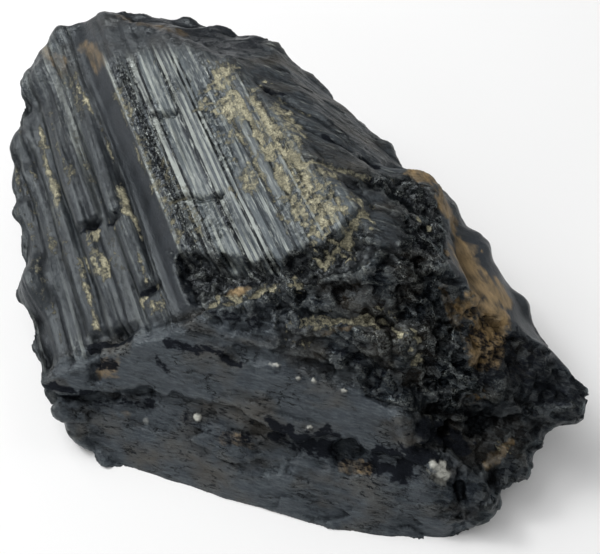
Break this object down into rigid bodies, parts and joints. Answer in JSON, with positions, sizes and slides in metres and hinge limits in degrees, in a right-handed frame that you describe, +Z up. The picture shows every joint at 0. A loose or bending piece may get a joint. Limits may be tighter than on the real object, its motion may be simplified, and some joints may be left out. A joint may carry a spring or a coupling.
{
  "type": "raw black tourmaline crystal",
  "caption": "Raw broken piece of black tourmaline with long growth ridges, a glassy fractured front and an ochre-stained hollow, lying on a flat side as a mineral specimen.",
  "frame": {"origin": "middle of the underside of the stone's box, on the surface it lies on", "axes": "+Y along the crystal's growth ridges towards the back end, +X towards the stained flank, +Z up"},
  "size_m": [0.0528, 0.0803, 0.0235],
  "materials": {
    "black_tourmaline": "black to dark grey crystal, silky along the growth ridges, glassy and glittering on the breaks, with cream dust in the grooves and an ochre stain on the right flank"
  },
  "bodies": {
    "root": {"tourmaline_crystal": "black_tourmaline"}
  },
  "joints": []
}
